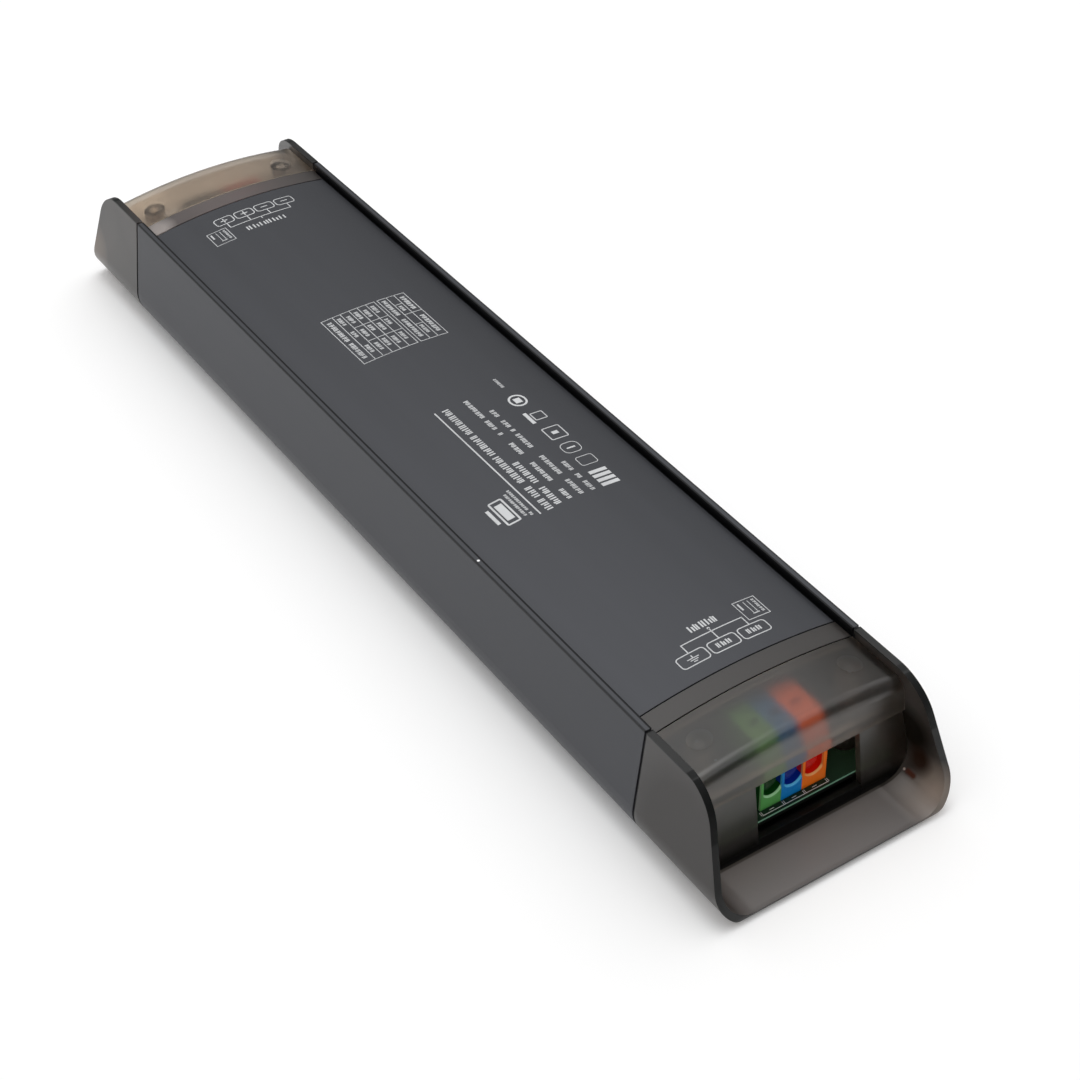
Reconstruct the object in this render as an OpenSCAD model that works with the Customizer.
// Slim power supply for strip lighting: an aluminium channel with a crowned
// cover, a circuit board inside, and at each end a smoky plastic end cap that
// carries a wiring cover over the terminals.
// X runs along the body with the mains input at +X, Z is up, and the origin
// lies under the middle of the base.

/* [Channel] */
// Length of the aluminium channel
body_l = 235; // [228:1:260]
// Width across the base, at its widest
base_w = 62; // [60:0.5:66]
// Width across the tops of the walls
top_w = 56; // [55:0.5:58]
// Height of the walls
body_h = 31; // [30:0.5:34]
// Thickness of the walls and the floor
wall = 1.7; // [1.4:0.1:2]
// Outside radius of the bottom corners
base_r = 9; // [8:0.5:10]
// How far the ledges that carry the cover reach in
ledge_w = 1.6; // [1.2:0.1:1.8]
// Thickness of those ledges
ledge_t = 1.2; // [1:0.1:1.6]
// How far the ribs that hold the circuit board reach in
rib_w = 1.5; // [1.2:0.1:1.8]
// Thickness of those ribs
rib_t = 1.1; // [0.8:0.1:1.3]

/* [Cover] */
// Thickness of the aluminium cover
cover_t = 1.6; // [1.2:0.1:2]
// Step down from the wall tops to the edges of the cover
cover_drop = 2; // [1.5:0.1:2.5]
// Rise of the crown from the edges to the middle
crown = 2.3; // [1.5:0.1:3]
// Gap between the cover and the wall tops, each side
cover_gap = 0.3; // [0.2:0.05:0.5]
// Thickness of the two snap legs under the cover
leg_t = 1.1; // [0.9:0.1:1.3]
// How far the legs reach below the ledges
leg_reach = 2.2; // [1.8:0.1:2.6]
// How far the barbs stand out under the ledges
barb = 0.6; // [0.4:0.1:0.8]

/* [End caps] */
// How far each cap reaches past the channel
cap_l = 31.2; // [30:0.5:36]
// Slope of the mouth, from upright
mouth_slope = 19; // [12:1:24]
// Radius where the side walls turn down into the mouth
shoulder_r = 11; // [8:0.5:13]
// Radius at the toe of the mouth
toe_r = 1.8; // [1.2:0.1:3]
// Width of the strip of each cap that shows beside the cover
strip_w = 5.7; // [4:0.1:8]
// Open joint between the channel's end and the cap's walls
joint_gap = 0.5; // [0.2:0.05:0.8]
// Gap on both sides of that strip, to the cover and to the wiring cover
seam_gap = 0.35; // [0.15:0.05:0.5]
// Reach of the side tongues inside the channel
tongue_l = 10.5; // [9:0.5:12]
// Thickness of the tongues and of the frame at the joint
tongue_t = 1.3; // [1:0.1:1.6]
// Clearance round the tongues
tongue_gap = 0.25; // [0.15:0.05:0.4]

/* [Wiring covers] */
// Thickness of the plastic
hood_t = 1.6; // [1.3:0.1:1.9]
// Gap between a wiring cover and the cap round it
hood_gap = 0.45; // [0.2:0.05:0.6]
// Distance from the channel's end to the foot of the front face
hood_foot = 18.6; // [18:0.1:20]
// Slope of the front face, from upright
face_slope = 8; // [4:1:10]
// Height of the crease across the front face
crease_h = 20; // [17:0.2:21]
// How far the brow stands out over the crease
brow_step = 1.1; // [0.3:0.1:1.3]
// Radius of the brow
brow_r = 3; // [2.5:0.1:5]
// Width of the wire window
window_w = 27.5; // [25:0.5:30]
// Height of the wire window's sill
window_sill = 5; // [4:0.1:5.4]
// How far the wire window lies to one side of the middle
window_shift = 2.15; // [1:0.05:2.5]
// Depth of the skirts along the sides
skirt_h = 8; // [5:0.5:10]
// Diameter of the two screw posts
post_d = 5.6; // [5:0.1:6.5]
// Distance of the posts from the middle
post_y = 19.6; // [17:0.1:20.5]
// Distance of the posts from the channel's end
post_x = 7.3; // [6.5:0.1:9]

/* [Screws] */
// Core diameter of the plastic screws
screw_d = 2.4; // [2.2:0.1:2.8]
// Clearance round a screw's core in its pilot hole
screw_gap = 0.05; // [0.05:0.05:0.1]
// Head diameter
head_d = 5.6; // [5:0.1:6]
// Height of a pan head
head_h = 2; // [1.6:0.1:2.2]
// Distance of the cap screws from the channel's end
cap_screw_x = 5.5; // [5:0.1:6]
// Distance of the cap screws from the middle
cap_screw_y = 14; // [12:0.5:16]

/* [Circuit board] */
// Height of the board's underside
board_z = 5.8; // [5.6:0.1:6.2]
// Thickness of the board
board_t = 1.6; // [1.2:0.1:1.8]
// Play between the board's edges and the channel, each side
board_play = 0.25; // [0.2:0.05:0.4]
// Clearance between the board's narrow ends and the wiring covers, each side
board_side_gap = 0.3; // [0.2:0.1:1]
// How far the board reaches past the channel at each end
board_over = 15.9; // [15:0.1:16]
// Play of the board under the upper ribs
board_gap = 0.2; // [0.1:0.05:0.3]
// Thickness of the insulating sheet under the board
sheet_t = 0.4; // [0.2:0.1:0.6]
// Diameter of the parts' leads
pin_d = 0.9; // [0.7:0.1:1]
// Clearance round a lead in its hole
pin_gap = 0.15; // [0.1:0.05:0.2]
// How far the leads stand out under the board
pin_out = 1.5; // [1:0.1:2]

/* [Terminals] */
// Pitch of the terminal poles
pitch = 5.5; // [5:0.05:5.6]
// Wall between a pole and the one before it
side_wall = 0.7; // [0.6:0.1:0.9]
// Thickness of the plate that closes the last pole of a block
end_plate = 1; // [0.8:0.1:1.6]
// Height of the housings above the board
term_h = 18; // [15:0.5:19]
// Depth of the housings along the body
term_d = 16; // [15:0.5:16.5]
// Run of the slope along their top front edge
term_slope = 3.2; // [2:0.1:4]
// Width of the chamfer along their top rear edge
term_edge = 1; // [0.5:0.1:2.5]
// Distance from the board's end to the front of the housings
term_back = 2; // [1.8:0.1:2.4]
// Depth of the recess in front of a wire hole
entry_depth = 2; // [1.6:0.1:2.4]
// Height of the foot of that recess above the board
entry_low = 3.1; // [2.6:0.1:3.6]
// Width of the chamfer round the recess
entry_edge = 0.45; // [0.3:0.05:0.6]
// Diameter of the wire hole behind the recess
wire_d = 2.6; // [2.2:0.1:3]

/* [Heat path] */
// Thickness of the silicone pads
pad_t = 0.5; // [0.3:0.1:0.8]
// Distance of the spreader bars' inner face from the middle
spreader_y = 22.4; // [22:0.1:22.8]
// Clearance between the bars' top edge and the cover's legs
spreader_gap = 1; // [0.5:0.1:1.5]
// Height of the bars' bottom edge above the board
spreader_lift = 3.6; // [3:0.1:4.5]

/* [Hidden] */
$fn = 96;
// Overshoot of a cut past the face it opens
cut = 1;

// Section of the channel: corner centre, lean of the walls, crown of the cover
corner_y = base_w / 2 - base_r;
to_top = [top_w / 2 - corner_y, body_h - base_r];
lean = atan2(to_top[1], to_top[0]) - acos(base_r / norm(to_top));
cover_half = top_w / 2 - wall / cos(lean) - cover_gap;
crown_r = (cover_half * cover_half + crown * crown) / (2 * crown);
crown_z = body_h - cover_drop + crown - crown_r;
end_x = body_l / 2;
cover_end = end_x - strip_w;
ledge_z = crown_z + sqrt(pow(crown_r - cover_t, 2) - pow(cover_half, 2)) - 0.02;
leg_y = wall_y(ledge_z, wall) - ledge_w - tongue_gap;
leg_end = ledge_z - ledge_t - leg_reach;

// Side view of an end cap: toe, mouth line and shoulder arc
cap_end = end_x + cap_l;
toe_x = cap_end - toe_r;
mouth_c = toe_x * cos(mouth_slope) + toe_r * sin(mouth_slope) + toe_r;
shoulder_z = body_h - shoulder_r;
shoulder_x = (mouth_c - shoulder_r - shoulder_z * sin(mouth_slope)) / cos(mouth_slope);
tongue_y = leg_y;
board_clear = 0.3;
tongue_lift = 1.6;
tongue_z = board_z + board_t + tongue_lift;
tongue_end = end_x - tongue_l;
frame_t = 1.6;
frame_drop = max(cover_t, hood_t);
opening_y = tongue_y - tongue_t;
board_half = wall_y(board_z, wall) - board_play;
board_end_half = wall_y(board_z, wall + hood_gap + hood_t) - board_side_gap;
board_pass = board_end_half + board_clear;
floor_tongue_y = corner_y - 2;
floor_tongue_t = 1.2;
cap_boss_d = 7;
boss_drop = 0.5;
cap_boss_top = board_z - boss_drop;
seat_d = 9;
seat_drop = 1.4;
seat_top = board_z - seat_drop;
head_room = 0.4;

// Wiring cover: face and brow
foot_x = end_x + hood_foot;
crease_x = foot_x - tan(face_slope) * (crease_h - wall);
brow_x = crease_x + brow_step;
window_top = crease_h - 0.1;
hood_start = end_x + seam_gap;
post_at = end_x + post_x;
pilot_r = screw_d / 2 + screw_gap;
// The pilot holes are cored right up to the roof
pilot_top = crown_z + sqrt(pow(crown_r - hood_t, 2) - pow(post_y + pilot_r, 2));

// Board and leads
board_top = board_z + board_t;
board_end = end_x + board_over;
term_front = board_end - term_back;
term_back_x = term_front - term_d;
input_y = -8.1;
output_y = -13;
entry_d = pitch - side_wall + 0.3;
wire_h = entry_low + entry_d / 2;
contact_w = 2.8;
cavity_d = 8.6;
cavity_h = 9.6;
term_pin_x = term_front - 10;

// Wall surface at height z, set in by off
function wall_y(z, off) =
    z < base_r + (base_r - off) * sin(lean)
    ? corner_y + sqrt(pow(base_r - off, 2) - pow(base_r - z, 2))
    : top_w / 2 - off / cos(lean) + (body_h - z) * tan(lean);

// Sizes of the parts on the board. Tall parts fill the room under the cover.
room = body_h - cover_drop - cover_t - board_top;
tall = room - 1.5;
low_tall = room - 4;
fuse_l = 20;
fuse_d = 5.2;
clip_wall = 0.5;
clip_l = 5;
varistor_d = 12;
thermistor_d = 13;
disc_t = 4.6;
disc_lift = 1.2;
disc_pitch = 7.5;
x_cap_size = [8, 24, low_tall];
y_cap_d = 8;
y_cap_t = 3.4;
choke_in = 4.6;
choke_out = 8.6;
choke_h = 10;
wire_t = 1.3;
wind_gap = 0.1;
wind_angle = 130;
choke_w = 2 * (choke_out + wire_t + wind_gap);
boost_size = [26, 17.6, tall - 0.5];
bulk_d = tall - 0.5;
bulk_l = 36;
bulk_lead = 2;
control_size = [1.2, 34, low_tall];
chip_size = [1.6, 6.2, 5];
transformer_size = [33, 25, tall];
resonant_size = [16, 5.2, 11];
output_cap_d = 10;
output_cap_h = low_tall;
opto_size = [6.4, 4.6, 3.5];
opto_row = 3.8;
opto_pitch = 1.27;
bridge_w = 22;
device_w = 10;
device_t = 4.6;
tab_t = 1.3;
device_lift = 1.4;
lead_pitch = 2.54;
foot_d = 3;
foot_y = 24;
foot_inset = 4;

// Row of parts along the board from the output end to the input end, as their
// lengths. What is left of the space between the bosses makes the gaps.
row = [output_cap_d, output_cap_d, transformer_size[0], control_size[0] + chip_size[0],
       bulk_l + bulk_lead, boost_size[0], x_cap_size[0], choke_w, choke_w, x_cap_size[0],
       disc_t, disc_t];
row_end = end_x - cap_screw_x - cap_boss_d / 2 - 1;
row_gap = (2 * row_end - total(row, len(row))) / (len(row) + 1);
function total(v, n) = n == 0 ? 0 : v[n - 1] + total(v, n - 1);
function place(i) = row_gap * (i + 1) - row_end + total(row, i) + row[i] / 2;

// Places of the parts on the board, as [x, y]
output_cap_at = [for (y = [-18.3, -6.1, 6.1, 18.3]) [place(0), y],
                 for (y = [-19.4, -8.8, 1.8, 12.4]) [place(1), y]];
transformer_at = [place(2), -5.5];
opto_at = [[place(2) + 8, 13], [place(2) - 8, 13]];
control_at = [place(3) - chip_size[0] / 2, -5];
bulk_at = [for (s = [-1, 1]) [place(4) - bulk_lead / 2, s * (bulk_d / 2 + 0.5) - 6.1]];
boost_at = [place(5), -5];
resonant_at = [place(5), 4.4 - board_half];
x_cap_at = [[place(6), -3.5], [place(9), -3]];
choke_at = [[place(7), -4.5], [place(8), -4.5]];
y_cap_at = [for (p = choke_at) [p[0], 6.9 - board_half]];
thermistor_at = [place(10), -13];
varistor_at = [place(11), -13];
fuse_at = [row_end - fuse_l / 2 - 2, 15];
bridge_at = fuse_at[0] - fuse_l / 2 - bridge_w / 2 - 6;
device_at = [for (i = [0:3]) bridge_at - 28 - 14 * i];
rectifier_at = [for (i = [0:3]) place(0) + output_cap_d / 2 + device_w / 2 + 1 + 12 * i];
input_bar = [device_at[3] - 8, bridge_at + 14];
output_bar = [rectifier_at[0] - device_w / 2 - 0.5, rectifier_at[3] + 7];

// Height of the bars' top edge, and of the screws and cases below it
bar_top = leg_end - spreader_gap;
hole_drop = 2.2;
device_hole_d = 3.4;
hole_above = bar_top - board_top - hole_drop;
tab_h = bar_top - board_top - device_lift;
case_h = hole_above - head_d / 2 - device_lift - 0.2;

function pair(at, dx, dy) = [[at[0] - dx, at[1] - dy], [at[0] + dx, at[1] + dy]];
function four(at, dx, dy) = concat(pair(at, dx, dy), pair(at, dx, -dy));
function poles(y0, n) = [for (i = [0:n - 1]) y0 + pitch * (i + 0.5) + side_wall / 2];
function bar_feet(bar) = [[bar[0] + foot_inset, foot_y], [bar[1] - foot_inset, foot_y]];
function flat(lists) = [for (l = lists) for (p = l) p];

device_y = spreader_y - device_t + 1;
clip_x = [fuse_at[0] - fuse_l / 2 + clip_l / 2, fuse_at[0] + fuse_l / 2 - clip_l / 2];
core_rail = 1.4;

fuse_pins = flat([for (x = clip_x) pair([x, fuse_at[1]], 0, 1.8)]);
varistor_pins = pair(varistor_at, 0, disc_pitch / 2);
thermistor_pins = pair(thermistor_at, 0, disc_pitch / 2);
x_cap_pins = flat([for (p = x_cap_at) pair(p, 0, x_cap_size[1] / 2 - 1.6)]);
y_cap_pins = flat([for (p = y_cap_at) pair(p, 2.5, 0)]);
choke_pins = flat([for (p = choke_at) four(p, 3.4, choke_out + 1)]);
boost_pins = four(boost_at, 6, boost_size[1] / 2 + core_rail);
bulk_pins = flat([for (p = bulk_at) pair([p[0] + bulk_l / 2 + 1.4, p[1]], 0, bulk_d / 5)]);
control_pins = [for (i = [-2:2]) [control_at[0], control_at[1] + i * 6]];
transformer_pins = concat(four(transformer_at, 5, transformer_size[1] / 2 + core_rail),
                          four(transformer_at, 12, transformer_size[1] / 2 + core_rail));
resonant_pins = pair(resonant_at, 6, 0);
output_cap_pins = flat([for (p = output_cap_at) pair(p, 2.5, 0)]);
opto_pins = flat([for (p = opto_at) four(p, opto_row, opto_pitch)]);
device_pins = [for (x = device_at) for (i = [-1:1]) [x + i * lead_pitch, device_y]];
rectifier_pins = [for (x = rectifier_at) for (i = [-1:1]) [x + i * lead_pitch, device_y]];
bridge_pins = [for (i = [-1.5:1.5]) [bridge_at + i * 5, device_y]];
foot_pins = concat(bar_feet(input_bar), bar_feet(output_bar));
input_pins = [for (y = poles(input_y, 3)) [term_pin_x, y]];
output_pins = [for (y = poles(output_y, 4)) [-term_pin_x, -y]];

// Solids drawn in a cross view stand along X: x of the sheet is Y, y is Z
module along_x(x0, x1) {
    translate([x0, 0, 0]) rotate([90, 0, 90]) linear_extrude(x1 - x0) children();
}

// Solids drawn in a side view: x of the sheet is X, y is Z
module along_y(y0, y1) {
    translate([0, y1, 0]) rotate([90, 0, 0]) linear_extrude(y1 - y0) children();
}

// Outline of the body set in by off, open upwards by rise: a trapezium with
// its two bottom corners rounded
module section(off, rise = 0) {
    top = body_h + rise;
    side = top_w / 2 - off / cos(lean);
    high = side - rise * tan(lean);
    foot = side + (body_h - off) * tan(lean);
    r = base_r - off;
    difference() {
        polygon([[-high, top], [high, top], [foot, off], [-foot, off]]);
        both_sides() translate([corner_y, base_r]) difference() {
            polygon([[0, 0], [0, -r - cut], [foot - corner_y + 2 * cut, -r - cut],
                     [(r + cut) * cos(lean), (r + cut) * sin(lean)]]);
            circle(r);
        }
    }
}

// All that lies under the crown when it is lowered by drop, from side to side
module under_crown(drop, half) {
    intersection() {
        translate([0, crown_z]) circle(crown_r - drop, $fn = 360);
        translate([-half, 0]) square([2 * half, body_h + crown]);
    }
}

module both_sides() {
    children();
    mirror([1, 0]) children();
}

module both_walls() {
    children();
    mirror([0, 1, 0]) children();
}

// A rib of thickness t along each wall, its foot at z, that reaches in from the
// wall's face at height seat
module wall_ribs(seat, z, reach, t) {
    y = wall_y(seat, wall) - reach;
    both_walls() translate([-end_x, y, z]) cube([body_l, reach + wall / 3, t]);
}

module at_cap_screws() {
    for (e = [-1, 1], s = [-1, 1])
        translate([e * (end_x - cap_screw_x), s * cap_screw_y, 0]) children();
}

// Extruded aluminium channel, countersunk from below for the end cap screws
module base_channel() {
    upper_z = board_top + board_gap;
    color("#55565b") difference() {
        union() {
            along_x(-end_x, end_x) difference() {
                section(0);
                section(wall, cut);
            }
            wall_ribs(ledge_z, ledge_z - ledge_t, ledge_w, ledge_t);
            wall_ribs(board_z, board_z - rib_t, rib_w, rib_t);
            wall_ribs(upper_z, upper_z, rib_w, rib_t);
        }
        at_cap_screws() {
            translate([0, 0, -cut]) cylinder(d = screw_d + 1, h = wall + 2 * cut);
            translate([0, 0, -0.01]) cylinder(d1 = head_d + 0.4, d2 = screw_d + 1, h = wall - 0.2);
        }
    }
}

// Extruded aluminium cover: crowned plate with two barbed snap legs, which are
// milled away at the ends to clear the caps' tongues
module top_cover() {
    leg_top = ledge_z + cover_t / 2;
    leg_half = tongue_end - tongue_gap;
    color("#55565b") {
        along_x(-cover_end, cover_end) difference() {
            under_crown(0, cover_half);
            under_crown(cover_t, cover_half + cut);
        }
        both_walls() along_x(-leg_half, leg_half) polygon([
            [leg_y - leg_t, leg_top], [leg_y, leg_top],
            [leg_y, ledge_z - ledge_t - 0.15],
            [leg_y + barb, ledge_z - ledge_t - 0.45],
            [leg_y, leg_end], [leg_y - leg_t, leg_end]
        ]);
    }
}

// Side view of an end cap: flat top, shoulder arc, sloping mouth and toe
module cap_side() {
    polygon([
        [end_x, 0], [toe_x, 0],
        [toe_x + toe_r * cos(mouth_slope), toe_r + toe_r * sin(mouth_slope)],
        [shoulder_x + shoulder_r * cos(mouth_slope),
         shoulder_z + shoulder_r * sin(mouth_slope)],
        [shoulder_x, body_h], [end_x, body_h]
    ]);
    translate([toe_x, toe_r]) circle(toe_r);
    intersection() {
        translate([shoulder_x, shoulder_z]) circle(shoulder_r);
        translate([shoulder_x, shoulder_z - shoulder_r]) square(3 * shoulder_r);
    }
}

// Frame across the cap's inner end, open for the board and its parts
module frame_opening() {
    under_crown(frame_drop + frame_t, opening_y);
    translate([-board_pass, wall + floor_tongue_t])
        square([2 * board_pass, tongue_z - wall - floor_tongue_t]);
}

module frame_section(drop) {
    difference() {
        intersection() {
            under_crown(drop, tongue_y);
            translate([-tongue_y, tongue_z]) square([2 * tongue_y, body_h]);
        }
        frame_opening();
    }
}

// End cap at the +X end: scoop, frame, strip beside the cover and tongues
module cap_form() {
    difference() {
        union() {
            // Scoop: floor and two side walls that carry on the channel's section
            difference() {
                intersection() {
                    along_x(end_x + joint_gap, cap_end + cut) section(0);
                    along_y(-base_w, base_w) cap_side();
                }
                along_x(end_x, cap_end + 2 * cut) section(wall, cut);
            }
            // Frame that stiffens the scoop and seats the wiring cover's edge
            along_x(end_x, end_x + frame_t) difference() {
                intersection() {
                    section(wall - 0.2);
                    under_crown(frame_drop + 0.05, base_w);
                }
                frame_opening();
            }
            // Frame inside the channel, and the strip beside the cover
            along_x(end_x - frame_t, end_x + frame_t) frame_section(frame_drop + 0.05);
            along_x(end_x - frame_t, end_x) frame_section(cover_t / 2);
            along_x(cover_end + seam_gap, end_x) difference() {
                under_crown(0, cover_half);
                under_crown(cover_t, cover_half + cut);
            }
            // Side tongues and floor tongue
            for (s = [-1, 1])
                translate([tongue_end, s > 0 ? opening_y : -tongue_y, tongue_z])
                    cube([tongue_l + frame_t, tongue_t, ledge_z - ledge_t - tongue_z]);
            translate([tongue_end, -floor_tongue_y, wall])
                cube([tongue_l + frame_t, 2 * floor_tongue_y, floor_tongue_t]);
            // Bosses for the cap screws, and seats for the wiring cover's posts
            for (s = [-1, 1]) {
                translate([end_x - cap_screw_x, s * cap_screw_y, wall])
                    cylinder(d = cap_boss_d, h = cap_boss_top - wall);
                translate([post_at, s * post_y, wall / 2])
                    cylinder(d = seat_d, h = seat_top - wall / 2);
            }
        }
        for (s = [-1, 1]) {
            translate([end_x - cap_screw_x, s * cap_screw_y, -cut])
                cylinder(r = pilot_r, h = body_h / 2);
            translate([post_at, s * post_y, -cut]) {
                cylinder(d = screw_d + 1, h = body_h / 2);
                cylinder(d = head_d + 0.8, h = cut + head_h + head_room);
            }
        }
    }
}

module input_end_cap() {
    color("#6b6661", 0.75) cap_form();
}

module output_end_cap() {
    color("#6b6661", 0.75) rotate(180) cap_form();
}

// Solid form of a wiring cover, set in by off on its top, front and sides
module hood_form(off, back, low) {
    r = crown_r - off;
    brow = brow_x - off;
    corner = brow_r - off / 2;
    crease = crease_h + off;
    below = crease - crown_z - 3;
    sweep = 2 * asin((base_w / 2) / (crown_r - 3 * brow_r));
    intersection() {
        along_x(back, cap_end) section(wall + hood_gap + off, cut);
        union() {
            intersection() {
                translate([0, 0, crown_z]) rotate([0, 90, 0]) rotate(180 - sweep / 2)
                    rotate_extrude(angle = sweep, $fn = 360) {
                        polygon([[below, back], [r, back], [r, brow - corner],
                                 [r - corner, brow], [below, brow]]);
                        translate([r - corner, brow - corner]) circle(corner, $fn = 48);
                    }
                translate([back, -base_w, crease]) cube([body_l, 2 * base_w, body_h]);
            }
            along_y(-base_w / 2, base_w / 2) polygon([
                [back, low], [foot_x - off / cos(face_slope) + tan(face_slope) * (wall - low), low],
                [crease_x - off / cos(face_slope) - tan(face_slope) * off, crease], [back, crease]
            ]);
        }
    }
}

// Wiring cover at the +X end: crowned top, brow, front face with its window
module hood() {
    low = wall + 0.15;
    difference() {
        union() {
            difference() {
                hood_form(0, hood_start, low);
                hood_form(hood_t, hood_start - cut, low - cut);
                // Only shallow skirts are left along the sides
                translate([hood_start - cut, -base_w, -cut])
                    cube([crease_x - hood_t - 2 - hood_start + cut, 2 * base_w,
                          ledge_z - skirt_h + cut]);
                // The rear edge is rebated where it lies on the cap's frame
                along_x(hood_start - cut, end_x + frame_t + hood_gap)
                    under_crown(hood_t - 0.1, base_w);
                for (s = [-1, 1]) translate([post_at, s * post_y, -cut])
                    cylinder(d = seat_d + 2 * hood_gap, h = seat_top + cut);
            }
            for (s = [-1, 1]) intersection() {
                translate([post_at, s * post_y, seat_top]) cylinder(d = post_d, h = body_h);
                hood_form(hood_t / 2, hood_start, low);
            }
        }
        for (s = [-1, 1])
            translate([post_at, s * post_y, seat_top - cut])
                cylinder(r = pilot_r, h = pilot_top - seat_top + cut);
        translate([crease_x - 2 * hood_t, window_shift - window_w / 2, window_sill])
            cube([10, window_w, window_top - window_sill]);
    }
}

module input_wiring_cover() {
    color("#77716a", 0.6) hood();
}

module output_wiring_cover() {
    color("#77716a", 0.6) rotate(180) hood();
}

// Countersunk screws that hold the end caps, put in from below
module end_cap_screws() {
    color("#8a8c90") at_cap_screws() difference() {
        union() {
            translate([0, 0, 0.1]) cylinder(d1 = head_d, d2 = screw_d, h = wall - 0.5);
            translate([0, 0, 0.1]) cylinder(d = screw_d, h = cap_boss_top - 0.6);
        }
        cross_recess();
    }
}

module cross_recess() {
    for (a = [0, 90]) rotate(a) translate([-1.5, -0.35, -1]) cube([3, 0.7, 1.9]);
}

// Pan head screws that hold the wiring covers, put in from below
module wiring_cover_screws() {
    color("#8a8c90") for (e = [-1, 1], s = [-1, 1])
        translate([e * post_at, s * post_y, 0]) difference() {
            union() {
                translate([0, 0, head_room]) cylinder(d = head_d, h = head_h);
                translate([0, 0, head_room]) cylinder(d = screw_d, h = seat_top + 6);
            }
            translate([0, 0, head_room]) cross_recess();
        }
}

// Thin polyester sheet on the channel's floor
module insulating_sheet() {
    half = tongue_end - 0.5;
    color("#c9c6b8") translate([-half, -floor_tongue_y, wall])
        cube([2 * half, 2 * floor_tongue_y, sheet_t]);
}

// Fibreglass board with a hole for every lead and for the wiring cover's posts
module circuit_board() {
    sites = concat(fuse_pins, varistor_pins, thermistor_pins, x_cap_pins, y_cap_pins,
                   choke_pins, boost_pins, bulk_pins, control_pins, transformer_pins,
                   resonant_pins, output_cap_pins, opto_pins, device_pins,
                   rectifier_pins, bridge_pins, foot_pins, input_pins, output_pins);
    wide = tongue_end - 2;
    color("#1d4a2c") translate([0, 0, board_z]) linear_extrude(board_t) difference() {
        union() {
            translate([-wide, -board_half]) square([2 * wide, 2 * board_half]);
            translate([-board_end, -board_end_half]) square([2 * board_end, 2 * board_end_half]);
        }
        for (p = sites) translate(p) circle(d = pin_d + 2 * pin_gap, $fn = 24);
        for (e = [-1, 1], s = [-1, 1])
            translate([e * post_at, s * post_y]) circle(d = post_d + 1);
    }
}

// Leads from the board's top face down through the holes
module leads(sites, up = 0.2) {
    for (p = sites) translate([p[0], p[1], board_z - pin_out])
        cylinder(d = pin_d, h = board_t + pin_out + up, $fn = 24);
}

// One pole of a push-in terminal at the +X end, from y0 to y1, with its wire at y.
// Its recess is open on the far side, where the next pole's wall closes it.
module pole_housing(y, y0, y1, last) {
    difference() {
        translate([0, 0, board_top]) along_y(y0, y1) polygon([
            [term_back_x, 0], [term_front, 0], [term_front, term_h * 2 / 3],
            [term_front - term_slope, term_h], [term_back_x + term_edge, term_h],
            [term_back_x, term_h - term_edge]
        ]);
        // Recess with a round foot and a chamfered edge, then a cone and the wire hole
        translate([term_front, y, board_top + wire_h]) rotate([0, -90, 0]) {
            intersection() {
                union() {
                    translate([0, 0, -cut]) cylinder(d = entry_d, h = entry_depth + cut);
                    translate([0, 0, -0.01])
                        cylinder(d1 = entry_d + 2 * entry_edge, d2 = entry_d, h = entry_edge);
                    translate([0, -entry_d / 2, -cut]) cube([3.4, entry_d, entry_depth + cut]);
                }
                translate([-entry_d, y0 + side_wall - y, -2 * cut])
                    cube([3 * entry_d, last ? y1 - end_plate - y0 - side_wall : pitch, 2 * entry_d]);
            }
            translate([0, 0, entry_depth - 0.01])
                cylinder(d1 = wire_d + 1.6, d2 = wire_d, h = 1.2);
            translate([0, 0, entry_depth + 1]) cylinder(d = wire_d, h = 3);
        }
        // Cavity for the contact and its spring, open to the board
        translate([term_front - 5 - cavity_d, y - contact_w / 2 - 0.2, board_top - cut])
            cube([cavity_d, contact_w + 0.4, cavity_h + cut]);
        // Slot in the top for a screwdriver tip
        translate([term_front - 8, y - 1.3, board_top + cavity_h - cut])
            cube([1.4, 2.6, term_h]);
    }
}

module block(y0, n, first, count) {
    for (i = [first:first + count - 1]) {
        last = i == n - 1;
        pole_housing(poles(y0, n)[i], y0 + pitch * i,
                     y0 + pitch * (i + 1) + (last ? end_plate : 0), last);
    }
}

module input_earth_housing() {
    color("#4f9350") block(input_y, 3, 0, 1);
}

module input_neutral_housing() {
    color("#0a6aad") block(input_y, 3, 1, 1);
}

module input_live_housing() {
    color("#d65f08") block(input_y, 3, 2, 1);
}

module output_negative_housings() {
    color("#2a2b2d") rotate(180) block(output_y, 4, 2, 2);
}

module output_positive_housings() {
    color("#c8401c") rotate(180) block(output_y, 4, 0, 2);
}

// Tinned contact: a foot with its lead, an upright and a bar over the wire
module contact(y) {
    back = term_front - 5 - cavity_d;
    translate([0, y, board_top]) {
        along_y(-contact_w / 2, contact_w / 2) polygon([
            [back + 0.3, 0], [term_front - 5.3, 0], [term_front - 5.3, 0.8],
            [back + 1.1, 0.8], [back + 1.1, cavity_h - 1.2],
            [term_front - 8.6, cavity_h - 1.2], [term_front - 8.6, cavity_h - 0.4],
            [back + 0.3, cavity_h - 0.4]
        ]);
        translate([term_pin_x, 0, -board_t - pin_out])
            cylinder(d = pin_d, h = board_t + pin_out + 0.2, $fn = 24);
    }
}

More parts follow.
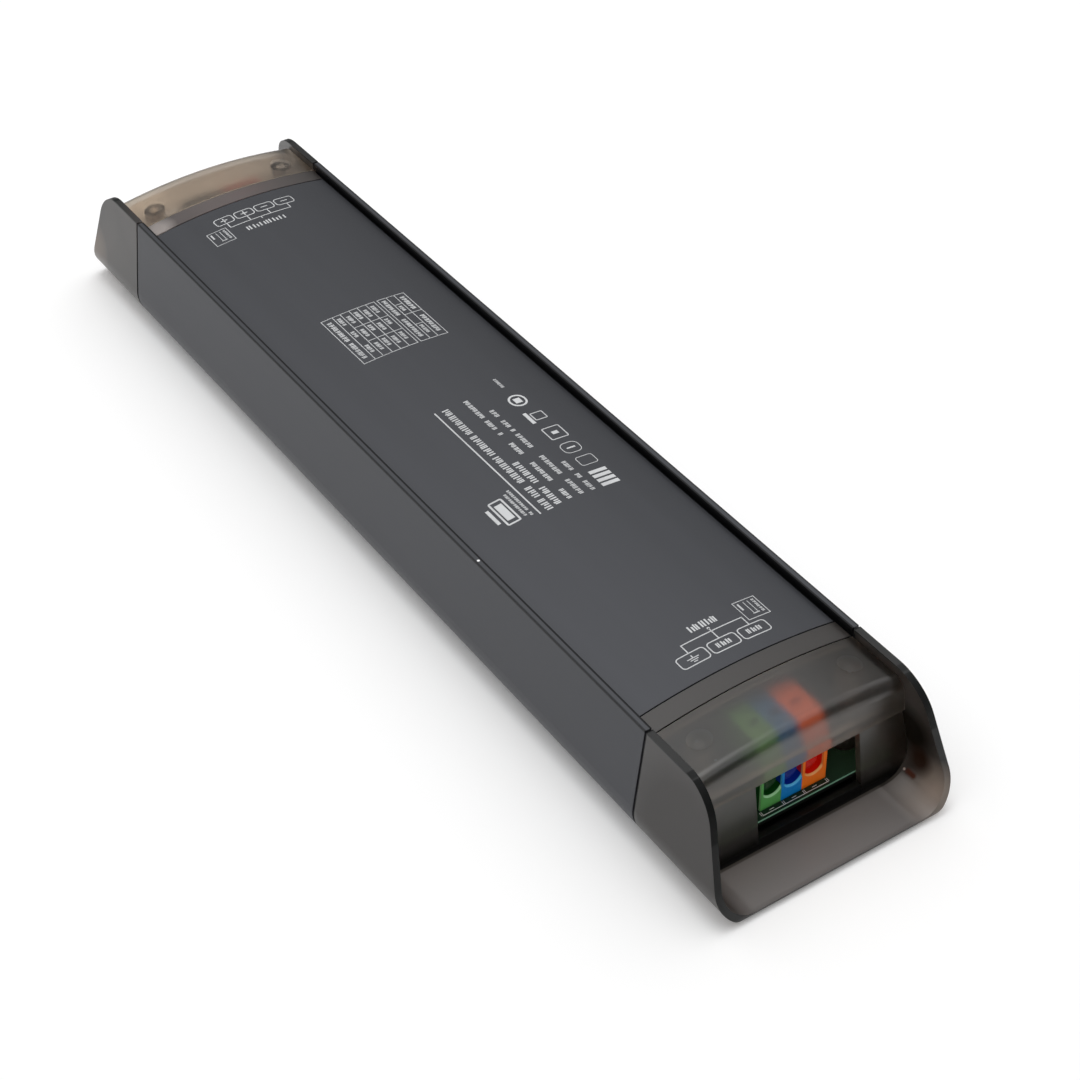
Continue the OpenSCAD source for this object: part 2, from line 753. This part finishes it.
// Bent steel spring that presses the wire up against the contact's bar
module clamp_spring(y) {
    back = term_front - 5 - cavity_d;
    t = 0.4;
    half = contact_w / 2 - 0.3;
    translate([0, y, board_top]) along_y(-half, half) polygon([
        [back + 1.2, 0.9], [term_front - 6.2, 0.9], [term_front - 6.2, 0.9 + t],
        [back + 1.9, 0.9 + t], [term_front - 7, cavity_h - 2.6],
        [term_front - 7.5, cavity_h - 2.4], [back + 1.2, 1.5]
    ]);
}

module input_contacts() {
    color("#b9bcc0") for (y = poles(input_y, 3)) contact(y);
}

module output_contacts() {
    color("#b9bcc0") rotate(180) for (y = poles(output_y, 4)) contact(y);
}

module input_clamp_springs() {
    color("#9a9da2") for (y = poles(input_y, 3)) clamp_spring(y);
}

module output_clamp_springs() {
    color("#9a9da2") rotate(180) for (y = poles(output_y, 4)) clamp_spring(y);
}

// Ceramic tube fuse with metal end caps, in two spring clips
fuse_z = board_top + 0.8 + clip_wall + fuse_d / 2;
module fuse() {
    color("#d8d2c0") translate([fuse_at[0] - fuse_l / 2, fuse_at[1], fuse_z]) rotate([0, 90, 0]) {
        cylinder(d = fuse_d - 0.4, h = fuse_l);
        for (z = [0, fuse_l - clip_l]) translate([0, 0, z]) cylinder(d = fuse_d, h = clip_l);
    }
}

module fuse_clips() {
    r = fuse_d / 2 + 0.05;
    color("#b9bcc0") {
        for (x = clip_x) translate([x - clip_l / 2 + 0.3, fuse_at[1], 0]) {
            along_x(0, clip_l - 0.6) difference() {
                union() {
                    translate([0, fuse_z]) circle(r + clip_wall);
                    translate([-2.6, board_top]) square([5.2, 1.6]);
                }
                translate([0, fuse_z]) circle(r);
                translate([-1.8, fuse_z]) square([3.6, fuse_d]);
            }
        }
        leads(fuse_pins);
    }
}

// A disc on two leads, its faces towards X
module disc(at, d, t) {
    translate([at[0] - t / 2, at[1], board_top + disc_lift + d / 2]) rotate([0, 90, 0])
        cylinder(d = d, h = t);
}

module varistor() {
    color("#2f5f9e") {
        disc(varistor_at, varistor_d, disc_t);
        leads(varistor_pins, disc_lift + varistor_d / 2);
    }
}

module inrush_thermistor() {
    color("#2c2d2c") {
        disc(thermistor_at, thermistor_d, disc_t);
        leads(thermistor_pins, disc_lift + thermistor_d / 2);
    }
}

module boxed(at, size) {
    translate([at[0] - size[0] / 2, at[1] - size[1] / 2, board_top]) cube(size);
}

module x_capacitors() {
    color("#d7b13a") {
        for (p = x_cap_at) boxed(p, x_cap_size);
        leads(x_cap_pins);
    }
}

module y_capacitors() {
    color("#3767a3") {
        for (p = y_cap_at) translate([p[0], p[1] + y_cap_t / 2, board_top + 1 + y_cap_d / 2])
            rotate([90, 0, 0]) cylinder(d = y_cap_d, h = y_cap_t);
        leads(y_cap_pins, 1 + y_cap_d / 2);
    }
}

// Ferrite rings of the two filter chokes
module filter_choke_cores() {
    color("#3b3b3d") for (p = choke_at)
        translate([p[0], p[1], board_top + wire_t + wind_gap]) difference() {
            cylinder(r = choke_out, h = choke_h);
            translate([0, 0, -cut]) cylinder(r = choke_in, h = choke_h + 2 * cut);
        }
}

// Two copper windings on each ring
module filter_choke_windings() {
    color("#a3562a") {
        for (p = choke_at, a = [0, 180]) translate([p[0], p[1], board_top])
            rotate(a + 90 - wind_angle / 2) rotate_extrude(angle = wind_angle) difference() {
                translate([choke_in - wire_t - wind_gap, 0])
                    square([choke_out - choke_in + 2 * (wire_t + wind_gap),
                            choke_h + 2 * (wire_t + wind_gap)]);
                translate([choke_in - wind_gap, wire_t])
                    square([choke_out - choke_in + 2 * wind_gap, choke_h + 2 * wind_gap]);
            }
        leads(choke_pins, 0.4);
    }
}

// Power device: metal tab against the spreader, case, three leads
module power_device(x) {
    z = board_top + device_lift;
    difference() {
        union() {
            translate([x - device_w / 2, spreader_y - tab_t, z]) cube([device_w, tab_t, tab_h]);
            translate([x - device_w / 2, spreader_y - device_t, z]) cube([device_w, device_t, case_h]);
        }
        translate([x, spreader_y + cut, board_top + hole_above]) rotate([90, 0, 0])
            cylinder(d = device_hole_d, h = device_t + 2 * cut);
    }
}

module power_transistors() {
    color("#2b2c2e") {
        for (x = device_at) power_device(x);
        leads(device_pins, device_lift + 0.5);
    }
}

module output_rectifiers() {
    color("#2b2c2e") {
        for (x = rectifier_at) power_device(x);
        leads(rectifier_pins, device_lift + 0.5);
    }
}

module bridge_rectifier() {
    color("#2b2c2e") {
        difference() {
            translate([bridge_at - bridge_w / 2, spreader_y - device_t, board_top + device_lift])
                cube([bridge_w, device_t, tab_h]);
            translate([bridge_at, spreader_y + cut, board_top + hole_above]) rotate([90, 0, 0])
                cylinder(d = device_hole_d, h = device_t + 2 * cut);
        }
        leads(bridge_pins, device_lift + 0.5);
    }
}

screw_sites = concat([for (x = device_at) [x, tab_t]], [for (x = rectifier_at) [x, tab_t]],
                     [[bridge_at, device_t]]);

// Screws through the devices into the spreader bars
module device_screws() {
    color("#8a8c90") for (s = screw_sites)
        translate([s[0], spreader_y - s[1], board_top + hole_above]) rotate([90, 0, 0]) {
            cylinder(d = head_d, h = head_h);
            translate([0, 0, -s[1] - 3]) cylinder(d = screw_d, h = s[1] + 3.2);
        }
}

// Aluminium bar from the devices to the leaning wall, on two feet
module heat_spreader(bar, holes) {
    low = board_top + spreader_lift;
    set_in = wall + pad_t;
    difference() {
        along_x(bar[0], bar[1]) polygon([
            [spreader_y, low], [wall_y(low, set_in), low],
            [wall_y(bar_top, set_in), bar_top], [spreader_y, bar_top]
        ]);
        for (x = holes) translate([x, spreader_y + 3.4, board_top + hole_above])
            rotate([90, 0, 0]) cylinder(r = pilot_r, h = 3.4 + cut);
    }
    for (p = bar_feet(bar)) translate([p[0], p[1], board_top])
        cylinder(d = foot_d, h = spreader_lift + 0.5);
    leads(bar_feet(bar));
}

module input_heat_spreader() {
    color("#a8abb0") heat_spreader(input_bar, concat(device_at, [bridge_at]));
}

module output_heat_spreader() {
    color("#a8abb0") heat_spreader(output_bar, rectifier_at);
}

// Silicone pads between the bars and the wall
module thermal_pads() {
    low = board_top + spreader_lift + 0.6;
    high = bar_top - 0.6;
    color("#8d97a5") for (bar = [input_bar, output_bar])
        along_x(bar[0] + 1, bar[1] - 1) polygon([
            [wall_y(low, wall + pad_t), low], [wall_y(low, wall), low],
            [wall_y(high, wall), high], [wall_y(high, wall + pad_t), high]
        ]);
}

// Wound part on a bobbin: size is the core's length, width and height
core_lift = 0.8;
function leg_r(size) = size[1] * 0.27;
function window_r(size) = size[0] / 2 - 3.2;

// Two ferrite halves that meet at mid height
module wound_core(at, size) {
    half = size[2] / 2;
    back = half * 0.34;
    translate([at[0], at[1], board_top + core_lift]) for (k = [0, 1])
        translate([0, 0, k * size[2]]) mirror([0, 0, k]) difference() {
            translate([-size[0] / 2, -size[1] / 2, 0]) cube([size[0], size[1], half]);
            difference() {
                translate([0, 0, back]) cylinder(r = window_r(size), h = half);
                translate([0, 0, back - cut]) cylinder(r = leg_r(size), h = half + 2 * cut);
            }
        }
}

// Bobbin: tube, two flanges and two rails with the pins
module wound_bobbin(at, size, sites) {
    half = size[2] / 2;
    low = board_top + core_lift + half * 0.34 + 0.1;
    high = board_top + core_lift + size[2] - half * 0.34 - 0.1;
    r_in = leg_r(size) + 0.2;
    rail_y = size[1] / 2 + 0.2;
    translate([at[0], at[1], 0]) difference() {
        union() {
            translate([0, 0, low]) cylinder(r = r_in + 0.8, h = high - low);
            for (z = [low, high - 0.9]) translate([0, 0, z])
                cylinder(r = window_r(size) - 0.3, h = 0.9);
            for (s = [-1, 1]) translate([-size[0] * 0.42, s > 0 ? rail_y : -rail_y - 2.6, board_top])
                cube([size[0] * 0.84, 2.6, low - board_top + 0.9]);
            for (s = [-1, 1]) translate([-4, s > 0 ? leg_r(size) + 2 : -rail_y - 1, low])
                cube([8, rail_y - leg_r(size) - 1, 0.9]);
        }
        translate([0, 0, low - cut]) cylinder(r = r_in, h = high - low + 2 * cut);
    }
    leads(sites);
}

module wound_coil(at, size) {
    half = size[2] / 2;
    low = board_top + core_lift + half * 0.34 + 1.05;
    high = board_top + core_lift + size[2] - half * 0.34 - 1.05;
    translate([at[0], at[1], low]) difference() {
        cylinder(r = window_r(size) - 0.6, h = high - low);
        translate([0, 0, -cut]) cylinder(r = leg_r(size) + 1.05, h = high - low + 2 * cut);
    }
}

module boost_inductor_core() {
    color("#3b3b3d") wound_core(boost_at, boost_size);
}

module boost_inductor_bobbin() {
    color("#1f1f20") wound_bobbin(boost_at, boost_size, boost_pins);
}

module boost_inductor_winding() {
    color("#a3562a") wound_coil(boost_at, boost_size);
}

module transformer_core() {
    color("#3b3b3d") wound_core(transformer_at, transformer_size);
}

module transformer_bobbin() {
    color("#1f1f20") wound_bobbin(transformer_at, transformer_size, transformer_pins);
}

module transformer_windings() {
    color("#c9a227") wound_coil(transformer_at, transformer_size);
}

// Cans that lie along the board, with a crimped neck and bent leads
module bulk_capacitors() {
    z = board_top + bulk_d / 2 + 0.2;
    color("#23262c") {
        for (p = bulk_at) {
            translate([p[0] - bulk_l / 2, p[1], z]) rotate([0, 90, 0]) difference() {
                cylinder(d = bulk_d, h = bulk_l);
                translate([0, 0, bulk_l - 4]) difference() {
                    cylinder(d = bulk_d + cut, h = 1.6);
                    translate([0, 0, -cut]) cylinder(d = bulk_d - 1.2, h = 2 + 2 * cut);
                }
            }
            for (s = [-1, 1]) translate([p[0] + bulk_l / 2 - 0.2, p[1] + s * bulk_d / 5, z])
                rotate([0, 90, 0]) cylinder(d = pin_d, h = 1.6 + pin_d / 2, $fn = 24);
        }
        leads(bulk_pins, bulk_d / 2 + 0.2 + pin_d / 2);
    }
}

module control_board() {
    color("#1d4a2c") {
        boxed(control_at, control_size);
        leads(control_pins);
    }
}

module control_chips() {
    color("#1f1f20") for (s = [-1, 1])
        translate([control_at[0] + control_size[0] / 2,
                   control_at[1] + s * 8 - chip_size[1] / 2, board_top + 6]) cube(chip_size);
}

module resonant_capacitor() {
    color("#8e2f28") {
        boxed(resonant_at, resonant_size);
        leads(resonant_pins);
    }
}

// Standing cans with a crimped neck
module output_capacitors() {
    color("#23262c") {
        for (p = output_cap_at) translate([p[0], p[1], board_top]) difference() {
            cylinder(d = output_cap_d, h = output_cap_h);
            translate([0, 0, 2]) difference() {
                cylinder(d = output_cap_d + cut, h = 1);
                translate([0, 0, -cut]) cylinder(d = output_cap_d - 0.8, h = 1 + 2 * cut);
            }
        }
        leads(output_cap_pins);
    }
}

module optocouplers() {
    color("#e6e2d6") {
        for (p = opto_at) boxed(p, opto_size);
        for (p = opto_at, s = [-1, 1])
            translate([p[0] - opto_row, p[1] + s * opto_pitch - 0.3, board_top + 1.4])
                cube([2 * opto_row, 0.6, 0.5]);
        leads(opto_pins, 1.9);
    }
}

base_channel();
top_cover();
input_end_cap();
output_end_cap();
input_wiring_cover();
output_wiring_cover();
end_cap_screws();
wiring_cover_screws();
insulating_sheet();
circuit_board();
input_earth_housing();
input_neutral_housing();
input_live_housing();
input_clamp_springs();
input_contacts();
output_negative_housings();
output_positive_housings();
output_clamp_springs();
output_contacts();
fuse();
fuse_clips();
varistor();
inrush_thermistor();
x_capacitors();
y_capacitors();
filter_choke_cores();
filter_choke_windings();
bridge_rectifier();
power_transistors();
output_rectifiers();
device_screws();
input_heat_spreader();
output_heat_spreader();
thermal_pads();
boost_inductor_core();
boost_inductor_bobbin();
boost_inductor_winding();
bulk_capacitors();
control_board();
control_chips();
transformer_core();
transformer_bobbin();
transformer_windings();
resonant_capacitor();
output_capacitors();
optocouplers();
